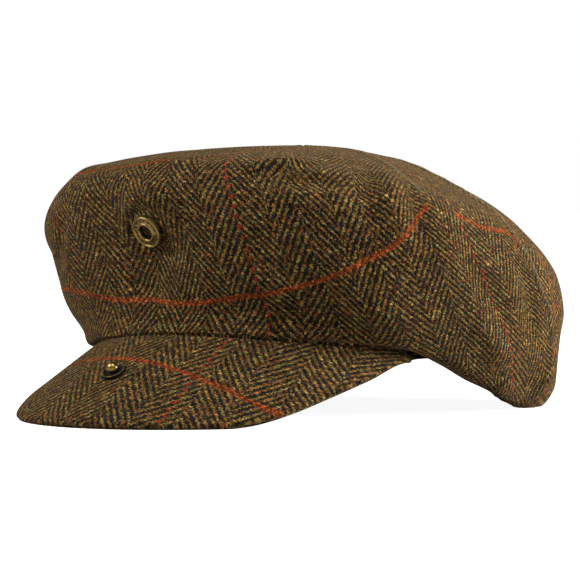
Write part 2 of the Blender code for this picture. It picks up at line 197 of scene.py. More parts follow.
# Creases and hollows of the cloth: width and depth in millimetres, then points as azimuth and millimetres up
# the cloth. A ridge has a negative depth. The strength multiplies the depths, and faint waves lie all over.
CREASE_STRENGTH = 1.9
WAVE_HEIGHT = 0.00035
CREASES = (
    (2.2, 1.4, ((29, 72), (32, 76), (36, 81), (39, 86), (43, 92))),
    (2.6, -1, ((26, 76), (31, 81), (36, 87), (41, 94))),
    (5, 1.2, ((26, 67), (34, 71), (42, 76), (50, 79))),
    (5, -1.2, ((64, 104), (61, 90), (59, 76), (59, 66), (60, 58))),
    (5, 1.2, ((58, 96), (54, 82), (53, 70), (55, 60))),
    (4.4, 1.2, ((67, 88), (65, 78), (65, 66), (67, 56))),
    (10, 2.2, ((8, 10), (22, 10), (34, 10), (46, 12), (60, 14))),
    (8, -1.6, ((50, 26), (58, 24), (66, 24))),
    (8, 1.2, ((26, 46), (31, 38), (37, 29))),
    (7, -1, ((36, 52), (42, 44), (50, 38))),
    (6, -1.1, ((-14, 66), (-6, 62), (4, 60), (12, 56))),
    (6, 1.3, ((-10, 26), (-3, 20), (5, 18))),
    (5, 1.2, ((-13, 94), (-2, 86), (10, 84))),
    (4, -0.9, ((-10, 86), (0, 80), (12, 78))),
    (6, 1.2, ((76, 60), (84, 50), (94, 44))),
    (6, -1.2, ((80, 36), (90, 30), (100, 26))),
    (4.5, 1, ((96, 70), (102, 56), (104, 40))),
    (6, 1.4, ((-30, 62), (-38, 48), (-50, 40))),
    (6, -1.2, ((-44, 70), (-56, 60), (-70, 56))),
    (8, 1, ((-10, 12), (-30, 13), (-52, 14), (-70, 18))),
    (5, 1.4, ((-66, 104), (-62, 86), (-60, 70))),
    (11, -1.6, ((112, 30), (120, 24), (128, 20), (138, 20))),
    (8, -1.6, ((98, 16), (108, 13), (118, 11))),
    (11, -1.6, ((-112, 30), (-120, 24), (-128, 20), (-138, 20))),
    (7, 1.5, ((150, 80), (165, 72), (180, 70))),
    (7, 1.5, ((-150, 70), (-135, 64), (-122, 66))),
)

# The dimple that the ring socket pulls into the cloth: a flat, tilted floor with a groove round the ring
DIMPLE_FLOOR = 0.0085
DIMPLE_END = 0.023
DIMPLE_TILT = 19.0
GROOVE_REACH, GROOVE_WIDTH, GROOVE_DEPTH = 0.0090, 0.0022, 0.0019

# The peak's cloth: picks bend back beside a middle. Columns lean out to the sides, about a line across the
# front, and are wider on the right.
PICK_BEND, BEND_MIDDLE, BEND_REACH, BEND_POWER = 0.015, 0.010, 0.056, 2.5
PEAK_LEAN, LEAN_STARTS, LEAN_REACH, LEAN_PIVOT = 0.16, 0.012, 0.05, -0.086
RIGHT_STRETCH, STRETCH_STARTS = 0.28, -0.018
UNDERSIDE_SHIFT = 0.0042
PEAK_LINE = -0.098

# Lamps: name, turn from the camera in radians, height, distance, size and share of the key light
LAMPS = (
    ("left", -1.32, 1.0, 1.2, 1.0, 1.8),
    ("right", 1.53, 0.35, 1.3, 0.7, 3.4),
    ("top", 0.18, 1.2, 0.7, 0.8, 0.8),
)


def hermite(t, start, end, leave, arrive):
    """Value at t, from 0 to 1, of the smooth curve between two values with these slopes."""
    s = 1 - t
    ends = start * (1 + 2 * t) * s * s + end * (3 - 2 * t) * t * t
    return ends + leave * t * s * s - arrive * s * t * t


def through(points, x):
    """Value at x of a smooth curve through (x, y) points, level at both ends."""
    place, value = np.array(points, float).T
    slope = np.zeros(len(place))
    slope[1:-1] = (value[2:] - value[:-2]) / (place[2:] - place[:-2])
    i = np.clip(np.searchsorted(place, x, side="right") - 1, 0, len(place) - 2)
    width = place[i + 1] - place[i]
    t = np.clip((x - place[i]) / width, 0, 1)
    return hermite(t, value[i], value[i + 1], width * slope[i], width * slope[i + 1])


def smoothstep(low, high, x):
    t = np.clip((x - low) / (high - low), 0, 1)
    return t * t * (3 - 2 * t)


def bell(x, width):
    """1 at the middle, fading to 0 on both sides."""
    return np.exp(-((x / width) ** 2))


def oval_radius(azimuth, reach, half_width, squareness):
    turn = np.radians(azimuth)
    across = (np.abs(np.sin(turn)) / half_width) ** squareness
    forward = (np.abs(np.cos(turn)) / reach) ** squareness
    return (across + forward) ** (-1 / squareness)


def folded(azimuth):
    return np.abs((azimuth + 180) % 360 - 180)


def outward(azimuth):
    turn = np.radians(azimuth)
    return np.stack([np.sin(turn), -np.cos(turn), np.zeros_like(turn)], -1)


def lengths(vectors):
    return np.linalg.norm(vectors, axis=-1, keepdims=True)


def head_radius(azimuth):
    cap = bpy.context.scene.cap_shape
    return oval_radius(azimuth, cap.head_length / 2, cap.head_width / 2, 2.0)


def edge_height(azimuth):
    """Height of the head opening's edge, a little higher on the left of the front than on the right."""
    turn = folded(azimuth)
    fading = np.maximum(0, np.cos(np.radians(turn * 90 / SKEW_END)))
    skew = SEAM_SKEW * np.sin(np.radians(azimuth)) * fading
    return bpy.context.scene.cap_shape.seam_height * through(OPENING_EDGE, turn) + skew


def smooth_crown(azimuth, along):
    """Points of the crown before its folds, from the middle of the head opening."""
    cap = bpy.context.scene.cap_shape
    azimuth, along = np.broadcast_arrays(azimuth, along)
    turn = folded(azimuth)
    low = edge_height(azimuth)
    front = oval_radius(azimuth, CROWN_FRONT, cap.crown_width / 2, FRONT_SQUARENESS)
    back = oval_radius(azimuth, CROWN_BACK, cap.crown_width / 2, BACK_SQUARENESS)
    plan = np.where(turn < 90, front, back)
    rings = [(head_radius(azimuth), low)]
    for ring in RINGS:
        reach, lift = (through(tuple(zip(STATIONS, row)), turn) / 1000 for row in ring)
        rings.append((reach * plan, low + lift * (cap.crown_height - low)))
    rings.append((np.zeros_like(low), np.full_like(low, cap.crown_height)))
    points = np.stack([np.stack(ring, -1) for ring in rings])
    before = points[0] * 2 - points[1]
    after = points[-2] * np.array([-1.0, 1.0])
    points = np.concatenate([before[None], points, after[None]])
    position = along * (len(rings) - 1)
    index = np.clip(position.astype(int), 0, len(rings) - 2)
    taken = np.repeat(index[None, ..., None], 2, -1)
    before, start, end, after = (np.take_along_axis(points, taken + k, 0)[0] for k in range(4))
    span = lengths(end - start)
    leave = (end - before) * span / (span + lengths(start - before))
    arrive = (after - start) * span / (lengths(after - end) + span)
    curve = hermite((position - index)[..., None], start, end, leave, arrive)
    flat = outward(azimuth) * curve[..., :1]
    flat[..., 2] = curve[..., 1]
    return flat


def grid_normals(points):
    """Outward directions of a grid of points."""
    across = np.gradient(points, axis=1)
    across[:, 0] = across[:, -1] = (points[:, 1] - points[:, -2]) / 2
    rising = np.gradient(points, axis=0)
    normal = np.cross(across, rising)
    return normal / (lengths(normal) + 1e-12)


def distances_up(points):
    """Distance up the cloth of each grid point from the opening's edge."""
    steps = lengths(np.diff(points, axis=0))[..., 0]
    return np.concatenate([np.zeros((1, points.shape[1])), np.cumsum(steps, 0)])


def middle_shift():
    """From the middle of the head opening to the cap's origin."""
    cap = bpy.context.scene.cap_shape
    front = cap.head_length / 2 + PEAK_REACH + cap.peak_thickness / 2
    return np.array([0.0, (front - CROWN_BACK) / 2, 0.0])


def new_shade(tree, kind, inputs=(), output=0, **settings):
    """An output of a new shader node. Inputs, by name or number, are shades, numbers, vectors or colours."""
    node = tree.nodes.new("ShaderNode" + kind)
    for name, value in settings.items():
        setattr(node, name, value)
    for name, value in dict(inputs).items():
        put(tree, node.inputs[name], value)
    return Shade(tree, node.outputs[output])


def put(tree, place, value):
    if isinstance(value, Shade):
        tree.links.new(value.socket, place)
    elif place.type == "RGBA":
        place.default_value = (*value[:3], 1.0)
    else:
        place.default_value = value


class Shade:
    """A socket of a material's nodes, so that shader maths reads as plain expressions."""

    def __init__(self, tree, socket):
        self.tree = tree
        self.socket = socket

    def maths(self, operation, *others, clamp=False):
        inputs = enumerate((self, *others))
        return new_shade(self.tree, "Math", inputs, operation=operation, use_clamp=clamp)

    def __add__(self, other):
        return self.maths("ADD", other)

    def __sub__(self, other):
        return self.maths("SUBTRACT", other)

    def __rsub__(self, other):
        return (self * -1.0) + other

    def __mul__(self, other):
        return self.maths("MULTIPLY", other)

    def __truediv__(self, other):
        return self.maths("DIVIDE", other)

    __radd__ = __add__

    def clamped(self):
        return self.maths("ADD", 0.0, clamp=True)

    def floor(self):
        return self.maths("FLOOR")

    def span(self, low, high):
        """0 at low and below, 1 at high and above."""
        return (self - low).maths("DIVIDE", high - low, clamp=True)


class Finish:
    """A material and its node tree, with methods that add its nodes."""

    def __init__(self, name, **constants):
        self.material = bpy.data.materials.new(name)
        self.material.use_nodes = True
        self.tree = self.material.node_tree
        self.shader = self.tree.nodes["Principled BSDF"]
        for socket, value in constants.items():
            self.feed(socket.replace("_", " "), value)

    def add(self, kind, inputs=(), output=0, **settings):
        return new_shade(self.tree, kind, inputs, output, **settings)

    def feed(self, socket, value):
        put(self.tree, self.shader.inputs[socket], value)

    def mix(self, factor, one, other, blend="MIX"):
        """A colour between two, each a colour or a shade."""
        return self.add("Mix", {0: factor, 6: one, 7: other}, 2, data_type="RGBA", blend_type=blend)

    def ramp(self, factor, *stops):
        """A colour that runs through (position, colour) stops."""
        colour = self.add("ValToRGB", {"Fac": factor})
        elements = colour.socket.node.color_ramp.elements
        while len(elements) < len(stops):
            elements.new(0.5)
        for element, (position, value) in zip(elements, stops):
            element.position = position
            element.color = (*value, 1.0)
        return colour

    def noise(self, vector, scale, detail=2.0, roughness=0.5):
        inputs = {"Vector": vector, "Scale": scale, "Detail": detail, "Roughness": roughness}
        return self.add("TexNoise", inputs)

    def cell(self, x, y, z):
        """A steady random number for each whole x and y."""
        return self.add("TexWhiteNoise", {"Vector": self.add("CombineXYZ", {"X": x, "Y": y, "Z": z})})

    def marked(self, name):
        """The number that the mesh's points carry under a name."""
        return self.add("Attribute", output=2, attribute_name=name)

    def bump(self, strength, relief):
        """Turns the normal by a relief in metres."""
        self.feed("Normal", self.add("Bump", {"Strength": strength, "Distance": 1.0, "Height": relief}))


def herringbone_finish(name, seed, red_line):
    """Two-up, two-down herringbone of ochre weft on near-black warp, with the overcheck and flecks."""
    cloth = bpy.context.scene.cap_cloth
    finish = Finish(
        name, Specular_IOR_Level=0.04, Sheen_Weight=cloth.fuzz, Sheen_Roughness=0.45,
        Sheen_Tint=(1.0, 0.72, 0.4))
    noise, mix, cell = finish.noise, finish.mix, finish.cell
    uv = finish.add("UVMap", uv_map="UVMap")
    aside = finish.add("VectorMath", {0: uv, 1: (3.1 + seed, 1.7, 0.0)}, operation="ADD")
    wander, drift = noise(uv, 160.0), noise(aside, 190.0)
    kink, slub = noise(uv, 620.0, 1.0), noise(aside, 560.0, 1.0)

    # u counts the warp's ends and v the weft's picks. Each thread is a quarter of the weave's turn.
    place, upward = (finish.add("SeparateXYZ", {"Vector": uv}, k) for k in (0, 1))
    u = place / cloth.end_pitch + (wander - 0.5) * 1.1 + (kink - 0.5) * 2.0
    v = upward / cloth.pick_pitch + (drift - 0.5) * 1.1 + (slub - 0.5) * 2.0
    quarter = math.pi / 2
    column = (u / float(cloth.column_ends)).floor()
    odd = column - (column / 2.0).floor() * 2.0
    lean = 1.0 - odd * 2.0
    shift = odd * 2.0
    end, pick = u.floor(), v.floor()
    weft_lift = ((lean * u + pick + 1.0 + shift) * quarter).maths("COSINE")
    warp_lift = ((lean * (end + 0.5) + v + 0.5 + shift) * quarter).maths("COSINE") * -1.0
    weft_height, warp_height = (
        lift * 0.55 + (1.0 - off * off * 4.0).maths("MAXIMUM", 0.0).maths("SQRT") * 0.75
        for lift, off in ((weft_lift, v - pick - 0.5), (warp_lift, u - end - 0.5)))
    loose = (slub - 0.5) * 0.7 + (cell(end, pick, seed + 6.0) - 0.5) * 1.5
    over = (weft_height - warp_height + loose - 0.1).span(-0.24, 0.24)
    height = weft_height.maths("MAXIMUM", warp_height)

    # Colours of the threads, each the same along one float of the weave
    float_at = ((lean * u + pick + shift) / 4.0).floor()
    fibres = noise(uv, 1250.0, 3.0, 0.75)
    cloud = noise(uv, 330.0, 2.0, 0.6)
    patches = noise(uv, 45.0)
    weft_colour = finish.ramp(
        cell(float_at, pick, seed),
        (0.0, cloth.rust), (0.1, cloth.rust), (0.22, cloth.brown), (0.38, cloth.weft),
        (0.62, cloth.weft_light), (0.78, cloth.olive), (0.94, cloth.weft), (1.0, cloth.gold),
    )
    warp_colour = finish.ramp(
        cell(end, ((v + lean * end + shift) / 4.0).floor(), seed + 9.0),
        (0.0, cloth.warp_green), (0.2, cloth.warp), (0.48, cloth.warp), (0.66, cloth.warp_blue),
        (0.8, cloth.warp_blue), (0.9, cloth.warp_plum), (1.0, cloth.brown),
    )
    weft_colour = mix(cloud.span(0.5, 0.72) * 0.7, weft_colour, cloth.olive)
    weft_colour = mix(cloud.span(0.5, 0.3) * 0.6, weft_colour, cloth.rust)

    # The overcheck: an orange weft line, and a red warp line that shows as dashes
    weft_line = finish.marked("weft_line") + (wander - 0.5) * 0.0012
    weft_check = 1.0 - (weft_line.maths("ABSOLUTE") / cloth.pick_pitch).span(1.0, 1.25)
    apart = LINES_APART / cloth.end_pitch
    warp_line = ((u - red_line / cloth.end_pitch) / apart + 0.5).maths("FRACT") - 0.5
    dashes = (v * quarter).maths("SINE").span(-0.35, 0.05)
    warp_check = (1.0 - (warp_line.maths("ABSOLUTE") * apart).span(0.7, 0.95)) * dashes
    orange = mix(cell(float_at, pick, seed + 4.0), cloth.check_weft, cloth.check_weft_light)
    weft_colour = mix(weft_check, weft_colour, orange)
    warp_colour = mix(warp_check, warp_colour, cloth.check_warp)
    shown = (over + weft_check * 0.35).clamped() * (1.0 - warp_check * 0.8)
    colour = mix(shown, warp_colour, weft_colour)

    # Painted shade on the sunk threads, light and dark of single yarns, flecks, fibres and clouds, then a
    # highlight painted along the seams' crests
    fleck = cell((u * 1.45 + 0.3).floor(), (v * 1.85 + 0.2).floor(), seed + 7.0)
    yarn = (0.7 + cell(float_at, pick, seed + 2.0) * 0.6) * (0.28 + fleck * 1.44)
    # The weave's height darkens the sunk threads: painted shade
    tone = (0.42 + height.span(0.15, 1.25) * 0.58) * (fibres.span(0.3, 0.7) * 1.8 + 0.12) * yarn
    tone = tone * (0.8 + patches * 0.4) * (0.76 + cloud.span(0.34, 0.66) * 0.48)
    toned = mix(1.0, colour, tone, "MULTIPLY")
    # A highlight painted along the seams' crests
    wear_and_highlight = finish.marked("wear_and_highlight").clamped() * fibres.span(0.36, 0.62) * 0.8
    toned = mix(wear_and_highlight, toned, cloth.wear_and_highlight)
    finish.feed("Base Color", mix(fibres.span(0.45, 0.85) * 0.07, toned, cloth.haze))
    finish.feed("Roughness", 0.86 + fibres * 0.12)
    finish.bump(0.9, height * 0.00022 + fibres * 0.00012)
    return finish.material


def brass_finish():
    """Antique brass: bright with wear where it stands proud, brown-black where it is sunk, with painted shade
    in the socket's hole and down the stud's neck and ball.
    """
    brass = bpy.context.scene.cap_brass
    finish = Finish("antique_brass", Specular_IOR_Level=0.15)
    place = finish.add("TexCoord", output=3)
    mottle = finish.noise(place, 420.0, 5.0, 0.65)
    spots = finish.noise(place, 2600.0)
    bright = (finish.marked("wear_and_shade") + (mottle - 0.5) * 0.9).span(0.25, 0.75)
    base = finish.mix(bright, brass.sunk, brass.wear_and_highlight)
    finish.feed("Base Color", finish.mix(spots.span(0.58, 0.72) * 0.5, base, brass.sunk))
    finish.feed("Metallic", bright)
    finish.feed("Roughness", 0.5 - bright * 0.3 + mottle * 0.08)
    finish.bump(0.6, mottle * 0.00003 + spots * 0.00001)
    return finish.material


def deselect_all():
    for one in bpy.context.selected_objects:
        one.select_set(False)


def take(piece):
    """Makes a piece the only selected one, and the active one."""
    deselect_all()
    piece.select_set(True)
    bpy.context.view_layer.objects.active = piece


def mark(mesh, name, values):
    """Gives each point of a mesh a number under a name."""
    layer = mesh.attributes.new(name, "FLOAT", "POINT")
    layer.data.foreach_set("value", np.asarray(values, np.float32).ravel())


def cloth_grid(name, points, uvs, lines):
    """A grid primitive, moved to points, with uvs for the left and right side of each column of faces."""
    rows, columns = points.shape[0] - 1, points.shape[1] - 1
    deselect_all()
    bpy.ops.mesh.primitive_grid_add(x_subdivisions=columns, y_subdivisions=rows, size=1.0, location=(0, 0, 0))
    piece = bpy.context.active_object
    piece.name = piece.data.name = name
    mesh = piece.data
    mesh.vertices.foreach_set("co", points.reshape(-1, 3).astype(np.float32).ravel())
    vertex = np.empty(len(mesh.loops), np.int32)
    mesh.loops.foreach_get("vertex_index", vertex)
    row, column = np.divmod(vertex, columns + 1)
    face_column = column.reshape(-1, 4).min(1).repeat(4)
    chosen = uvs[column - face_column, row, face_column]
    layer = mesh.uv_layers.get("UVMap") or mesh.uv_layers.new(name="UVMap")
    layer.data.foreach_set("uv", chosen.astype(np.float32).ravel())
    for line, values in lines.items():
        mark(mesh, line, values)
    mesh.update()
    return piece


def close_up(piece, distance, fill=False):
    """Merges doubled points, fills holes if asked, and turns the faces outwards."""
    take(piece)
    bpy.ops.object.mode_set(mode="EDIT")
    bpy.ops.mesh.select_all(action="SELECT")
    bpy.ops.mesh.remove_doubles(threshold=distance)
    if fill:
        bpy.ops.mesh.select_all(action="DESELECT")
        bpy.ops.mesh.select_non_manifold()
        bpy.ops.mesh.fill_holes(sides=0)
        bpy.ops.mesh.select_all(action="SELECT")
    bpy.ops.mesh.normals_make_consistent(inside=False)
    bpy.ops.object.mode_set(mode="OBJECT")


def smooth_shaded(piece, angle=50.0):
    take(piece)
    bpy.ops.object.shade_smooth_by_angle(angle=math.radians(angle))


def seam_columns(count):
    """Azimuths of the crown's columns, before the seams slant, with more beside each seam."""
    azimuths = set(np.round(np.linspace(-180, 180, count + 1), 4))
    for line in (-180, -BACK_SEAM, -DART, DART, BACK_SEAM, 180):
        for step in BESIDE_SEAM:
            place = line - step if line > 0 else line + step
            if -180 <= place <= 180:
                azimuths = {a for a in azimuths if abs(a - place) > 0.16}
                azimuths.add(round(place, 4))
    return np.array(sorted(azimuths))


def even_rows(count):
    """Values of along that are evenly spaced up the cloth."""
    fine = np.linspace(0, 1, 721)
    azimuths = np.array([0.0, 45.0, 90.0, 135.0])
    reach = distances_up(smooth_crown(azimuths[None, :], fine[:, None])).mean(1)
    return np.interp(np.linspace(0, reach[-1], count + 1), reach, fine)


def slanted(base, along):
    """The azimuth of a column at each row, led aside by the back seams."""
    aside = np.interp(along, *np.array(SEAM_SLANT).T)
    near = np.clip((np.abs(base) - BACK_SEAM) / SEAM_REACH, -1, 1)
    return base + np.sign(base) * aside * np.cos(near * math.pi / 2) ** 2


def looked_up(table, row_at, row, column_at, column):
    """Values of a table at rows and columns between its own."""
    r = np.interp(row, row_at, np.arange(len(row_at)))
    c = np.interp(column, column_at, np.arange(len(column_at)))
    i, j = np.minimum(r.astype(int), len(row_at) - 2), np.minimum(c.astype(int), len(column_at) - 2)
    r, c = r - i, c - j
    lower = table[i, j] * (1 - c) + table[i, j + 1] * c
    upper = table[i + 1, j] * (1 - c) + table[i + 1, j + 1] * c
    return lower * (1 - r) + upper * r


def cloth_distance(azimuth, along):
    """Distance up the cloth from the opening's edge, straight up at an azimuth."""
    azimuths, steps = np.arange(-180, 180.1, 3.0), np.linspace(0, 1, 241)
    table = distances_up(smooth_crown(azimuths[None, :], steps[:, None]))
    return looked_up(table, steps, along, azimuths, (azimuth + 180) % 360 - 180)


def columns_passed(azimuth, distance):
    """Number of each place on the front and sides, counted in columns of the herringbone."""
    places, heights = np.arange(-139, 148.1, 1.0), np.linspace(0, 0.085, 35)
    numbers = FIRST_EDGE + 2 * np.arange(len(COLUMN_EDGES))
    edges = np.array([through(tuple(zip(COLUMN_HEIGHTS, edge)), heights) for edge in COLUMN_EDGES])
    table = np.array([through(tuple(zip(row, numbers)), places) for row in edges.T])
    return looked_up(table, heights, distance, places, azimuth)


def slope_of(values, points, normals):
    """Direction in the surface in which values on a grid grow fastest."""
    across, rising = np.gradient(points, axis=1), np.gradient(points, axis=0)
    change_across = np.gradient(values, axis=1)[..., None]
    change_rising = np.gradient(values, axis=0)[..., None]
    slope = change_across * np.cross(rising, normals) + change_rising * np.cross(normals, across)
    return slope / (lengths(slope) + 1e-12)


def settled(direction, points, joined, rounds=500):
    """Values on a grid whose steps best follow a direction, as cloth settles with the least strain.

    Joined is how firmly each point is held to the next one round, and only matters where two points coincide.
    """
    across, rising = np.diff(points, axis=1), np.diff(points, axis=0)
    wide, tall = lengths(across)[..., 0], lengths(rising)[..., 0] + 1e-7
    want_across = np.sum(across * (direction[:, 1:] + direction[:, :-1]) / 2, -1)
    want_up = np.sum(rising * (direction[1:] + direction[:-1]) / 2, -1)
    height = np.pad(tall, ((0, 1), (0, 0)), mode="edge")[:, 1:]
    width = np.pad(wide, ((0, 0), (0, 1)), mode="edge")[1:]
    hold_across = np.where(wide < 1e-7, joined, height / np.maximum(wide, 1e-7))
    hold_up = np.maximum(width, 1e-5) / tall

    def gathered(change_across, change_up, back=-1):
        total = np.zeros(points.shape[:2])
        total[:, 1:] += change_across * hold_across
        total[:, :-1] += back * change_across * hold_across
        total[1:] += change_up * hold_up
        total[:-1] += back * change_up * hold_up
        return total

    stiff = gathered(1, 1, back=1) + 1e-9
    values = np.zeros(points.shape[:2])
    rest = gathered(want_across, want_up)
    move = rest / stiff
    power = np.sum(rest * move)
    for _ in range(rounds):
        pull = gathered(np.diff(move, axis=1), np.diff(move, axis=0))
        step = power / np.sum(move * pull)
        values += step * move
        rest -= step * pull
        fresh = rest / stiff
        before, power = power, np.sum(rest * fresh)
        if power < 1e-18:
            break
        move = fresh + move * power / before
    return values


def crown_flow(azimuth, along, distance, points, normals, base):
    """Places on the cut cloth of each grid point, for the left and right side of each column of faces."""
    edges = (-BACK_SEAM, -DART, DART, BACK_SEAM)
    twice = [2 if np.abs(place - edges).min() < 1e-6 else 1 for place in base]
    doubled = np.repeat(np.arange(len(base)), twice)
    first = np.append(np.diff(doubled) == 0, False)
    inside = base[doubled] + np.where(first, -0.01, 0.01)
    azimuth, along, distance, points, normals = (
        table[:, doubled] for table in (azimuth, along, distance, points, normals))
    over = smoothstep(TOP_STARTS, TOP_ENDS, distance)
    side = columns_passed(azimuth, distance) * COLUMN_WIDTH
    ring = np.argmin(np.abs(distance - TOP_STARTS), 0)
    every = np.arange(len(inside))
    ring_points, ring_side, ring_azimuth = points[ring, every], side[ring, every], azimuth[ring, every]
    u = side.copy()
    gores = ((0.0, -DART, DART), (SIDE_TURN, DART, BACK_SEAM), (-SIDE_TURN, -BACK_SEAM, -DART))
    for turn, low, high in gores:
        way = outward(90.0 - turn) * np.array([1, -1, 0])
        on_ring = (ring_azimuth > low - 8) & (ring_azimuth < high + 12)
        flat = np.interp(points @ way, (ring_points @ way)[on_ring], ring_side[on_ring])
        gore = (inside > low) & (inside < high)
        u = np.where(gore, side * (1 - over) + flat * over, u)
    slope = np.zeros_like(points)
    for low, high in zip((-181, *edges), (*edges, 181)):
        gore = np.flatnonzero((inside > low) & (inside < high))
        slope[:, gore] = slope_of(u[:, gore], points[:, gore], normals[:, gore])
    round_about = np.cross(np.array([0.0, 0.0, 1.0]), normals)
    round_about /= lengths(round_about) + 1e-9
    lean = through(BACK_GRAIN, np.clip(np.abs(azimuth), 90, 180)) + over * (np.abs(azimuth) - 130) * 0.5
    lean = np.radians(lean * np.sign(azimuth))[..., None]
    back_way = np.cos(lean) * round_about + np.sin(lean) * np.cross(normals, round_about)
    back = np.abs(inside) > BACK_SEAM
    slope = np.where(back[None, :, None], back_way, slope)
    dart = np.abs(np.abs(inside) - DART) < 1
    joined = np.where(dart[:-1] & (along[:, :-1] < DART_TIP), 1000.0, 0.0)
    v = settled(np.cross(normals, slope), points, joined)
    middle = np.argmin(np.abs(inside))
    v += GRAIN_LEVEL - v[np.argmin(np.abs(distance[:, middle] - GRAIN_LEVEL)), middle]
    u = np.where(back, settled(slope, points, joined), u)
    cut = np.stack([u, v], -1)
    left = np.flatnonzero(~first[:-1])
    return np.stack([cut[:, left], cut[:, left + 1]])


def nearest_line(azimuth, distance):
    """Signed distance of each grid point to the nearest weft line, and 1 where there is none."""
    gaps = [np.full(azimuth.shape, 1.0)]
    for line in WEFT_LINES:
        place, height = np.array(line).T
        slope = np.interp(azimuth, place, np.gradient(height * MM, np.radians(place) * CLOTH_SPREAD))
        gap = (distance - through(line, azimuth) * MM) / np.sqrt(1 + slope**2)
        gaps.append(np.where((azimuth >= place[0]) & (azimuth <= place[-1]), gap, 1.0))
    for line in BACK_LINES:
        height, place = np.array(line).T
        reached = distance / MM
        gap = np.radians(azimuth - np.interp(reached, height, place)) * CLOTH_SPREAD
        gaps.append(np.where((reached >= height[0]) & (reached <= height[-1]), gap, 1.0))
    gaps = np.array(gaps)
    return np.take_along_axis(gaps, np.abs(gaps).argmin(0)[None], 0)[0]


def creased(azimuth, distance, line, wide):
    """Share of a crease's depth at each grid point, fading beside its line and towards its ends."""
    spots = np.array([(math.radians(place) * CLOTH_SPREAD, height * MM) for place, height in line])
    here = np.stack([np.radians(azimuth) * CLOTH_SPREAD, distance], -1)
    steps = np.linalg.norm(np.diff(spots, axis=0), axis=1)
    starts, total = np.concatenate([[0], np.cumsum(steps)]), steps.sum()
    nearest, passed = np.full(azimuth.shape, 1.0), np.zeros(azimuth.shape)
    for start, end, step, before in zip(spots[:-1], spots[1:], steps, starts):
        share = np.clip((here - start) @ (end - start) / step**2, 0, 1)
        gap = np.linalg.norm(here - start - share[..., None] * (end - start), axis=-1)
        passed = np.where(gap < nearest, before + share * step, passed)
        nearest = np.minimum(gap, nearest)
    fading = np.clip(4 * (passed / total) * (1 - passed / total), 0, 1) ** 0.7
    return bell(nearest, wide * MM) * (0.15 + 0.85 * fading)


def crown_detail(azimuth, along, distance, base, shifted):
    """How far each grid point stands out from the smooth crown, and how much highlight is painted on it along
    a seam's crest.
    """
    rise, wear_and_highlight = np.zeros(azimuth.shape), np.zeros(azimuth.shape)
    for place, height, wide, tall, depth in FOLDS:
        turn = ((azimuth - place + 180) % 360 - 180) / wide
        rise -= depth * MM * np.exp(-(turn**2 + ((along - height) / tall) ** 2) / 2)
    clear = CREASE_STRENGTH * MM * smoothstep(0.001, 0.012, distance)
    for wide, depth, line in CREASES:
        rise -= depth * creased(azimuth, distance, line, wide) * clear
    seat = seat_of("snap_socket", (*middle_shift()[:2], 0.07))
    near = shifted + middle_shift() - np.array(seat.translation)
    aside, up, out = (near @ np.array(seat.col[k][:3]) for k in range(3))
    reach = np.hypot(aside, up)
    facing = np.where(out > -0.02, 1.0, 0.0)
    fading = facing * (1 - smoothstep(DIMPLE_FLOOR, DIMPLE_END, reach))
    rise += fading * (up * math.tan(math.radians(DIMPLE_TILT)) - rise)
    rise -= facing * GROOVE_DEPTH * bell(reach - GROOVE_REACH, GROOVE_WIDTH)
    radius = np.linalg.norm(shifted[..., :2], axis=-1)
    for line, tip in ((DART, DART_TIP), (-DART, DART_TIP), (BACK_SEAM, -1), (-BACK_SEAM, -1), (180, -1)):
        aside = (base - line + 180) % 360 - 180
        gap = np.radians(aside)[None, :] * np.maximum(radius, 0.004) * (-1 if line < 0 else 1)
        ends = smoothstep(tip, tip + 0.1, along) if tip > 0 else np.ones_like(along)
        pucker = 1 + PUCKER_SHARE * np.sin(along * PUCKER_RATE + line)
        welt = WELT_HEIGHT * pucker * bell(gap + WELT_PLACE, WELT_WIDTH)
        welt -= STITCH_DEPTH * bell(gap, STITCH_WIDTH)
        rise += ends * smoothstep(0.01, 0.08, radius) * (0.3 + 0.7 * smoothstep(0, 0.012, distance)) * welt
        ends = ends * smoothstep(0.01, 0.03, radius) * smoothstep(0.03, 0.065, distance)
        # A highlight painted along each seam's crest, where light catches the welt
        wear_and_highlight += ends * bell(gap + CREST_PLACE, STITCH_WIDTH)
    turn = np.radians(azimuth)
    waves = np.sin(3 * turn + 9 * along) * np.sin(7 * turn - 4 * along + 1.0)
    waves += 0.5 * np.sin(11 * turn + 13 * along)
    rise += WAVE_HEIGHT * waves * smoothstep(0.1, 0.3, along)
    return rise, wear_and_highlight


def metres(name, description, default, **more):
    return FloatProperty(name=name, description=description, default=default, unit="LENGTH", **more)


def tint(name, *default):
    about = "Colour of the " + name.lower()
    return FloatVectorProperty(name=name, description=about, default=default, subtype="COLOR")


def degrees(name, description, default):
    return FloatProperty(name=name, description=description, default=math.radians(default), subtype="ANGLE")


class CapShape(PropertyGroup):
    """Sizes of the cap"""
    crown_width: metres("Crown width", "Widest part of the crown", CROWN_BOX[1].x - CROWN_BOX[0].x)
    crown_height: metres("Crown height", "Top of the crown over the floor", 0.117)
    head_length: metres("Head length", "Head opening, front to back", 0.2)
    head_width: metres("Head width", "Head opening, side to side", 0.168)
    seam_height: metres("Seam height", "Seam of crown and peak over the floor", 0.036)
    peak_width: metres("Peak width", "Peak, side to side", 0.166)
    peak_thickness: metres("Peak thickness", "Covered board of the peak", 0.0038)
    cloth: metres("Cloth", "Thickness of the crown's wall", 0.002)


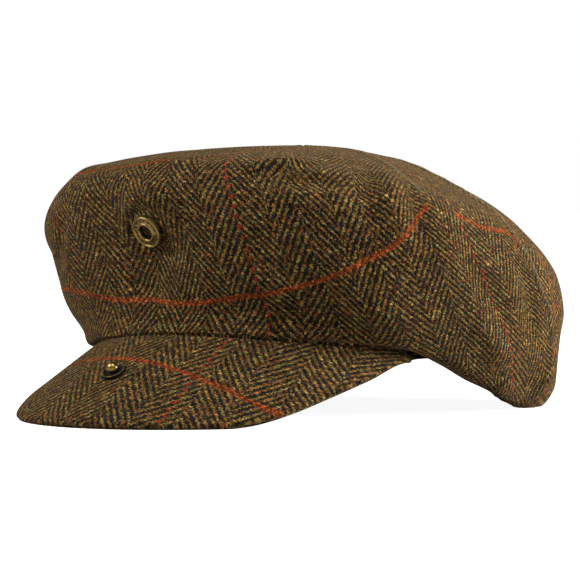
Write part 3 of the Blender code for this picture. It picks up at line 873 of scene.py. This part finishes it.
class CapCloth(PropertyGroup):
    """Yarns and weave of the tweed"""
    end_pitch: metres("End pitch", "Distance between warp ends", COLUMN_WIDTH / 18, precision=5)
    pick_pitch: metres("Pick pitch", "Distance between weft picks", 0.00102, precision=5)
    column_ends: IntProperty(
        name="Ends a column", description="Warp ends in one column of the herringbone", default=18)
    fuzz: FloatProperty(name="Fuzz", description="The wool's bloom", default=0.1, subtype="FACTOR")
    warp: tint("Warp", 0.01, 0.008, 0.005)
    warp_blue: tint("Blue warp", 0.01, 0.013, 0.016)
    warp_green: tint("Green warp", 0.01, 0.021, 0.008)
    warp_plum: tint("Plum warp", 0.032, 0.013, 0.014)
    weft: tint("Weft", 0.17, 0.084, 0.02)
    weft_light: tint("Light weft", 0.235, 0.13, 0.032)
    brown: tint("Brown flecks", 0.085, 0.044, 0.018)
    rust: tint("Rust flecks", 0.17, 0.06, 0.014)
    olive: tint("Olive flecks", 0.128, 0.11, 0.032)
    gold: tint("Gold flecks", 0.3, 0.165, 0.04)
    haze: tint("Loose fibres", 0.105, 0.068, 0.028)
    # Colour of the highlight painted along the seams' crests, where light catches the welts
    wear_and_highlight: tint("Painted seam highlight", 0.25, 0.195, 0.12)
    check_weft: tint("Orange check", 0.25, 0.044, 0.009)
    check_weft_light: tint("Light orange check", 0.33, 0.076, 0.014)
    check_warp: tint("Red check", 0.24, 0.02, 0.012)


class CapBrass(PropertyGroup):
    """Colours of the press stud"""
    wear_and_highlight: tint("Rubbed brass", 0.34, 0.22, 0.068)
    # Sunk brass is also the painted shade in the socket's hole and down the stud's neck and ball
    sunk: tint("Sunk brass", 0.005, 0.0035, 0.002)


class CapStage(PropertyGroup):
    """Floor, lights and camera"""
    azimuth: degrees("Azimuth", "Camera, round from the front", 40.3)
    elevation: degrees("Elevation", "Camera over the horizon", 1.8)
    distance: metres("Distance", "Camera from the cap", 1.2)
    lens: FloatProperty(name="Lens", description="Focal length in millimetres", default=165.5)
    aim_height: metres("Aim height", "Height that the camera aims at", 0.0522)
    aim_aside: metres("Aim aside", "Aim, to the left of the head's middle", -0.00585)
    soft_light: FloatProperty(name="Soft light", description="Strength of the light all round", default=0.28)
    key_light: FloatProperty(name="Key light", description="Watts of a lamp whose share is 1", default=9.0)


class CAP_OT_crown(Operator):
    """Make the tweed crown, with its darts, seams, folds and wall"""
    bl_idname = "cap.crown"
    bl_label = "Crown"

    def execute(self, context):
        base = seam_columns(count=270)
        along = even_rows(count=136)[:, None] + np.zeros(len(base))
        azimuth = slanted(base[None, :], along)
        points = smooth_crown(azimuth, along)
        normals = grid_normals(points)
        distance = cloth_distance(azimuth, along)
        rise, wear_and_highlight = crown_detail(azimuth, along, distance, base, points)
        shaped = points + normals * rise[..., None]
        shaped[-1] = shaped[-1].mean(0)
        shaped[..., 2] = np.maximum(shaped[..., 2], 0)
        tucked = 1 - smoothstep(PEAK_END_AZIMUTH - 5, PEAK_END_AZIMUTH + 1, folded(azimuth[0]))
        shaped[0] -= tucked[:, None] * (outward(azimuth[0]) * TUCKED_IN + np.array([0.0, 0.0, TUCKED_DOWN]))
        shaped += middle_shift()
        uvs = crown_flow(azimuth, along, distance, points, normals, base)
        # The highlight painted along the seams' crests goes to the cloth as a mark
        lines = {"weft_line": nearest_line(azimuth, distance), "wear_and_highlight": wear_and_highlight}
        crown = cloth_grid("crown_cloth", shaped, uvs, lines)
        close_up(crown, distance=0.00001)
        wall = crown.modifiers.new("wall", "SOLIDIFY")
        wall.thickness = context.scene.cap_shape.cloth
        wall.offset = -1.0
        bpy.ops.object.modifier_apply(modifier=wall.name)
        smooth_shaded(crown, angle=40.0)
        crown.data.materials.append(herringbone_finish("crown_tweed", seed=0.0, red_line=-2 * COLUMN_WIDTH))
        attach(crown, "root")
        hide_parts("crown")
        return {"FINISHED"}


def peak_middle(along, out):
    """Points of the peak's middle layer, out from seam to rim, and half its thickness there."""
    cap = bpy.context.scene.cap_shape
    azimuth = along * PEAK_END_AZIMUTH
    thinning = (cap.peak_thickness - PEAK_END_THICKNESS) * along**PEAK_END_POWER
    half = (cap.peak_thickness - thinning) / 2
    seam = outward(azimuth) * head_radius(azimuth)[..., None]
    seam[..., 2] = edge_height(azimuth) - GAP - half
    end = outward(PEAK_END_AZIMUTH) * head_radius(PEAK_END_AZIMUTH)
    turn = along * math.pi / 2
    reach = cap.head_length / 2 + PEAK_REACH + end[1]
    half_width = max(cap.peak_width / 2, end[0] + PEAK_END_REACH)
    shifted = np.abs(along - RIM_SHIFT * (1 - along * along))
    height = edge_height(azimuth) * through(PEAK_RIM, shifted) + cap.peak_thickness / 2 - PRESSED
    rim = np.stack([half_width * np.sin(turn), end[1] - reach * np.cos(turn), height], -1)
    flat = seam + (rim - seam) * out[..., None]
    flat[..., 2] += PEAK_CAMBER * 4 * out * (1 - out) * np.cos(turn)
    return flat, half


def peak_sections(columns, rows, rim_steps):
    """Closed sections of the peak in rows, and each row's angle round the rim, from 90 on top to -90."""
    along = np.linspace(-1, 1, columns + 1)
    out = np.linspace(0, 1, rows + 1)
    step = 0.01
    grid_along, grid_out = np.meshgrid(along, out)
    middle, half = peak_middle(grid_along, grid_out)
    inner, outer = np.maximum(grid_out - step, 0), np.minimum(grid_out + step, 1)
    forward = peak_middle(grid_along, outer)[0] - peak_middle(grid_along, inner)[0]
    left, right = np.minimum(grid_along + step, 1), np.maximum(grid_along - step, -1)
    across = peak_middle(left, grid_out)[0] - peak_middle(right, grid_out)[0]
    normal = np.cross(forward, across)
    forward /= lengths(forward)
    normal /= lengths(normal)
    upper = middle + normal * half[..., None]
    lower = middle - normal * half[..., None]
    turns = np.linspace(90, -90, rim_steps + 2)[1:-1]
    rim = []
    for angle in turns:
        groove = 1 - RIM_SEAM * bell(angle, SEAM_SPREAD)
        groove += RIM_LIPS * bell(abs(angle) - LIPS_PLACE, LIPS_SPREAD)
        angle = math.radians(angle)
        direction = forward[-1] * math.cos(angle) * groove + normal[-1] * math.sin(angle)
        rim.append(middle[-1] + direction * half[-1][:, None])
    section = np.concatenate([upper, np.array(rim), lower[::-1]])
    section[..., 2] = np.maximum(section[..., 2], 0)
    return section, np.concatenate([np.full(rows + 1, 90.0), turns, np.full(rows + 1, -90.0)])


class CAP_OT_peak(Operator):
    """Make the covered peak, with its rim seam"""
    bl_idname = "cap.peak"
    bl_label = "Peak"

    def execute(self, context):
        section, round_rim = peak_sections(columns=220, rows=40, rim_steps=22)
        section = section + middle_shift()
        closed = np.concatenate([section, section[:1]])
        x, y = closed[..., 0], closed[..., 1]
        rim = np.append(round_rim, -90.0)[:, None] + np.zeros_like(x)
        steps = lengths(np.diff(closed, axis=0))[..., 0] * np.sign(-np.diff(y, axis=0))
        forward = np.concatenate([np.zeros((1, len(x[0]))), np.cumsum(steps, 0)]) - y[0]
        bent = PICK_BEND * (np.abs(x - BEND_MIDDLE) / BEND_REACH) ** BEND_POWER
        back = np.clip(y - LEAN_PIVOT, -0.03, 0.07)
        leaning = np.sign(x) * np.clip((np.abs(x) - LEAN_STARTS) / LEAN_REACH, 0, 1.2)
        u = x + RIGHT_STRETCH * np.maximum(0, STRETCH_STARTS - x) + leaning * PEAK_LEAN * back
        v = forward + bent + np.where(rim < 0, UNDERSIDE_SHIFT, 0.0)
        plane = np.stack([u, v], -1)
        uvs = np.stack([plane[:, :-1], plane[:, 1:]])
        lines = {"weft_line": np.where(rim > -10, y - bent - PEAK_LINE, 1.0)}
        peak = cloth_grid("peak_cloth", closed, uvs, lines)
        close_up(peak, distance=0.000002, fill=True)
        smooth_shaded(peak)
        peak.data.materials.append(herringbone_finish("peak_tweed", seed=5.0, red_line=0.0375))
        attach(peak, "root")
        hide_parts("peak")
        return {"FINISHED"}


def seat_of(node, away):
    """The frame of a turned CAD node: Z on its axis, away from a point, and zero at its lowest end."""
    points = np.array([vertex.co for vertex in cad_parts[node].data.vertices])
    middle = points.mean(0)
    spread, axes = np.linalg.eigh(np.cov((points - middle).T))
    lone = 0 if spread[1] - spread[0] > spread[2] - spread[1] else 2
    axis = axes[:, lone]
    if axis @ (middle - np.array(away)) < 0:
        axis = -axis
    z = Vector(axis)
    x = Vector((0, 0, 1)).cross(z).normalized()
    place = Matrix((x, z.cross(x), z)).transposed().to_4x4()
    place.translation = Vector(middle + axis * ((points - middle) @ axis).min())
    return place


def turned(name, profile, wear_and_shade, sides=96):
    """A piece turned about Z: a circle, extruded and scaled from one (radius, height) point to the next.

    The profile is in millimetres, and worn gives how bright the brass is at radii and heights in millimetres.
    """
    deselect_all()
    profile = [(radius * MM, height * MM) for radius, height in profile]
    radius, height = profile[0]
    bpy.ops.mesh.primitive_circle_add(vertices=sides, radius=radius, location=(0, 0, 0), fill_type="NOTHING")
    piece = bpy.context.active_object
    piece.name = piece.data.name = name
    bpy.ops.object.mode_set(mode="EDIT")
    bpy.ops.mesh.select_all(action="SELECT")
    bpy.ops.transform.translate(value=(0, 0, height))
    for next_radius, next_height in profile[1:]:
        bpy.ops.mesh.extrude_edges_move(TRANSFORM_OT_translate={"value": (0, 0, next_height - height)})
        share = next_radius / radius
        bpy.ops.transform.resize(value=(share, share, 1), center_override=(0, 0, next_height))
        radius, height = next_radius, next_height
    bpy.ops.object.mode_set(mode="OBJECT")
    close_up(piece, distance=0.000002)
    points = np.array([vertex.co for vertex in piece.data.vertices]) / MM
    mark(piece.data, "wear_and_shade", wear_and_shade(np.hypot(points[:, 0], points[:, 1]), points[:, 2]))
    return piece


def studded(reach, height, size, turns):
    """The ring's small plain dots, dark with age: one, and copies of it."""
    deselect_all()
    bpy.ops.mesh.primitive_ico_sphere_add(subdivisions=2, radius=size * MM, location=(0, 0, 0))
    dots = [bpy.context.active_object]
    mark(dots[0].data, "wear_and_shade", [-0.3] * len(dots[0].data.vertices))
    while len(dots) < len(turns):
        dot = dots[0].copy()
        dot.data = dots[0].data.copy()
        bpy.context.collection.objects.link(dot)
        dots.append(dot)
    for dot, turn in zip(dots, np.radians(turns)):
        place = Vector((reach * np.cos(turn), reach * np.sin(turn), height))
        dot.data.transform(Matrix.Translation(place * MM))
    return dots


def placed(piece, seat):
    """Moves a turned piece to its seat and leaves its object at the origin."""
    piece.data.transform(seat)
    piece.data.update()
    smooth_shaded(piece)


def arc(centre, radius, start, end, count):
    angles = np.radians(np.linspace(start, end, count + 1))
    return [(centre[0] + radius * math.cos(a), centre[1] + radius * math.sin(a)) for a in angles]


class CAP_OT_press_stud(Operator):
    """Make the press stud's ring socket on the crown and its ball stud on the peak"""
    bl_idname = "cap.press_stud"
    bl_label = "Press stud"

    def execute(self, context):
        x, y, _ = middle_shift()
        outside, bore, depth, floor = 7.2, 3.2, 3.0, 1.0
        profile = [(1.5, -0.4), (outside - 0.7, -0.4), (outside, 0.2), (outside, depth - 0.6)]
        profile += arc((outside - 0.5, depth - 0.6), 0.5, 0, 140, 8)
        profile += [(outside - 1.05, depth - 0.5), (bore + 1.3, depth - 0.3)]
        profile += arc((bore + 0.6, depth - 0.4), 0.6, 40, 170, 10)
        profile += [(bore, floor + 0.3), (bore - 0.3, floor), (1.5, floor), (1.5, -0.4)]

        # Near black in the bore and on the floor of the hole: painted shade. The outer wall is darker than
        # the face, which brightens with wear towards its proud beads.
        def ring_wear_and_shade(radius, height):
            side = np.where(radius < outside - 1, -0.5, 0.18)
            face = 0.46 + 0.5 * smoothstep(depth - 0.5, depth - 0.1, height)
            return np.where(height < depth - 1.2, side, face)

        ring = turned("snap_socket_ring", profile, ring_wear_and_shade)
        dots = studded(reach=5.4, height=depth - 0.48, size=0.4, turns=range(9, 369, 24))
        take(ring)
        for dot in dots:
            dot.select_set(True)
        bpy.ops.object.join()
        socket = context.active_object
        seat = seat_of("snap_socket", (x, y, 0.07)) @ Matrix.Translation((0, 0, 0.0006))
        placed(socket, seat @ Matrix.Rotation(math.radians(DIMPLE_TILT), 4, "X"))
        flange, ball, neck, tall = 5.2, 2.6, 1.8, 4.8
        profile = [(1.5, 1.8), (1.5, 0), (flange, 0)]
        profile += arc((flange - 0.4, 0.9), 0.4, -20, 150, 8)
        profile += [(flange - 1.3, 0.55), (neck + 0.6, 0.55), (neck, 1.1)]
        profile += arc((0, tall - ball), ball, -20, 88, 16)
        profile += [(0.02, tall)]

        # The neck and ball are dark at the foot and bright at the top: painted shade standing for the dark
        # cloth that the ball reflects. The flange's rim brightens with wear towards its edge.
        def stud_wear_and_shade(radius, height):
            rim, top = 0.4 * smoothstep(0.7, 1.3, height), 0.95 * smoothstep(1.2, 3.4, height)
            return np.where(radius > flange - 0.9, rim, top)

        stud = turned("snap_stud_ball", profile, stud_wear_and_shade)
        placed(stud, seat_of("snap_stud", (x, y - 0.06, -0.05)))
        brass = brass_finish()
        for piece, node in ((socket, "snap_socket"), (stud, "snap_stud")):
            piece.data.materials.append(brass)
            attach(piece, "root")
            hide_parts(node)
        for node in ("socket_rivet", "stud_rivet"):
            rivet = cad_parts[node]
            rivet.data.materials.clear()
            rivet.data.materials.append(brass)
        return {"FINISHED"}


class CAP_OT_stage(Operator):
    """Make the floor, the lights and the camera"""
    bl_idname = "cap.stage"
    bl_label = "Stage"

    def execute(self, context):
        scene = context.scene
        stage = scene.cap_stage
        deselect_all()
        bpy.ops.mesh.primitive_plane_add(size=60.0, location=(0, 0, 0))
        floor = context.active_object
        floor.name = "floor"
        finish = Finish(
            "pale_floor", Roughness=1.0, Specular_IOR_Level=0.0, Base_Color=(0.55, 0.55, 0.55),
            Emission_Strength=0.93)
        finish.feed("Emission Color", finish.add("LightPath"))
        floor.data.materials.append(finish.material)
        world = bpy.data.worlds.new("pale_room")
        world.use_nodes = True
        tree = world.node_tree
        background = tree.nodes["Background"].inputs
        put(tree, background["Color"], (1, 1, 1))
        seen = new_shade(tree, "LightPath", output="Is Camera Ray")
        put(tree, background["Strength"], seen.maths("MAXIMUM", stage.soft_light))
        scene.world = world
        azimuth, lift = stage.azimuth, stage.elevation
        middle = Vector(middle_shift())

        def way(turn, far=1.0, high=0.0):
            return Vector((math.sin(turn) * far, -math.cos(turn) * far, high))

        for name, aside, high, far, size, share in LAMPS:
            place = middle + way(azimuth + aside, far, high)
            bpy.ops.object.light_add(type="AREA", location=place)
            lamp = context.active_object
            lamp.name = name
            lamp.data.energy = stage.key_light * share
            lamp.data.size = size
            lamp.rotation_euler = (middle + Vector((0, 0, 0.06)) - place).to_track_quat("-Z", "Y").to_euler()
        back = way(azimuth, math.cos(lift), math.sin(lift))
        target = middle + way(azimuth + math.pi / 2) * stage.aim_aside + Vector((0, 0, stage.aim_height))
        bpy.ops.object.camera_add(location=target + back * stage.distance)
        camera = context.active_object
        camera.rotation_euler = (-back).to_track_quat("-Z", "Y").to_euler()
        camera.data.lens = stage.lens
        camera.data.sensor_width = 36.0
        camera.data.clip_start, camera.data.clip_end = 0.05, 50.0
        scene.camera = camera
        scene.view_settings.view_transform = "Standard"
        return {"FINISHED"}


class CAP_PT_panel(Panel):
    """Buttons and sizes of the cap"""
    bl_idname = "CAP_PT_panel"
    bl_label = "Flat cap"
    bl_space_type = "VIEW_3D"
    bl_region_type = "UI"
    bl_category = "Cap"

    def draw(self, context):
        for operator in OPERATORS:
            self.layout.operator(operator.bl_idname)
        for name in GROUPS:
            box = self.layout.box()
            group = getattr(context.scene, name)
            for prop in group.__annotations__:
                box.prop(group, prop)


OPERATORS = (CAP_OT_crown, CAP_OT_peak, CAP_OT_press_stud, CAP_OT_stage)
GROUPS = {"cap_shape": CapShape, "cap_cloth": CapCloth, "cap_brass": CapBrass, "cap_stage": CapStage}


def register():
    for one in (*GROUPS.values(), *OPERATORS, CAP_PT_panel):
        bpy.utils.register_class(one)
    for name, group in GROUPS.items():
        setattr(bpy.types.Scene, name, PointerProperty(type=group))


def unregister():
    for name in GROUPS:
        delattr(bpy.types.Scene, name)
    for one in reversed((*GROUPS.values(), *OPERATORS, CAP_PT_panel)):
        bpy.utils.unregister_class(one)


def main():
    register()
    bpy.ops.cap.crown()
    bpy.ops.cap.peak()
    bpy.ops.cap.press_stud()
    bpy.ops.cap.stage()


if __name__ == "__main__":
    main()
